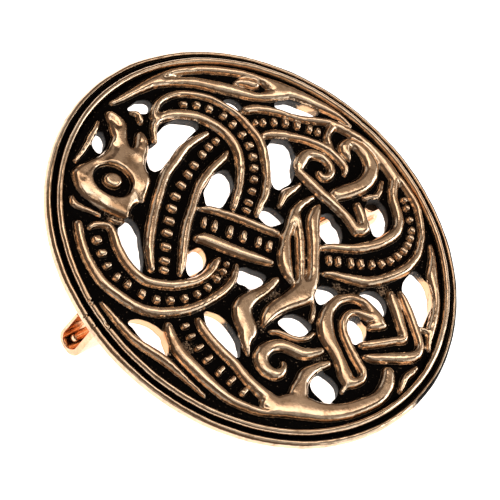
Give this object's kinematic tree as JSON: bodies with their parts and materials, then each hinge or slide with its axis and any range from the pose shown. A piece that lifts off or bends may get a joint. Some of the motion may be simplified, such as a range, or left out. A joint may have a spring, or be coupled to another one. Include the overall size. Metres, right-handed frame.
{
  "type": "disc brooch",
  "caption": "Round openwork bronze brooch with raised animal interlace, a double rim, and a pin, hinge and catch on its back.",
  "frame": {"origin": "on the surface the brooch lies on, under the middle of the disc", "axes": "+Z out of the disc's ornamented front, +Y towards the top of the ornament, +X to its right; the pin runs from the hinge at the upper right to the catch at the lower left, 30 degrees from X"},
  "size_m": [0.04, 0.04, 0.0076],
  "materials": {
    "bronze": "polished on the raised ornament and rim, blackened in the recesses",
    "copper": "reddish, drawn and filed, darker in its corners"
  },
  "bodies": {
    "root": {"openwork_disc": "bronze", "catch": "copper", "hinge": "copper", "pin": "copper"}
  },
  "joints": []
}
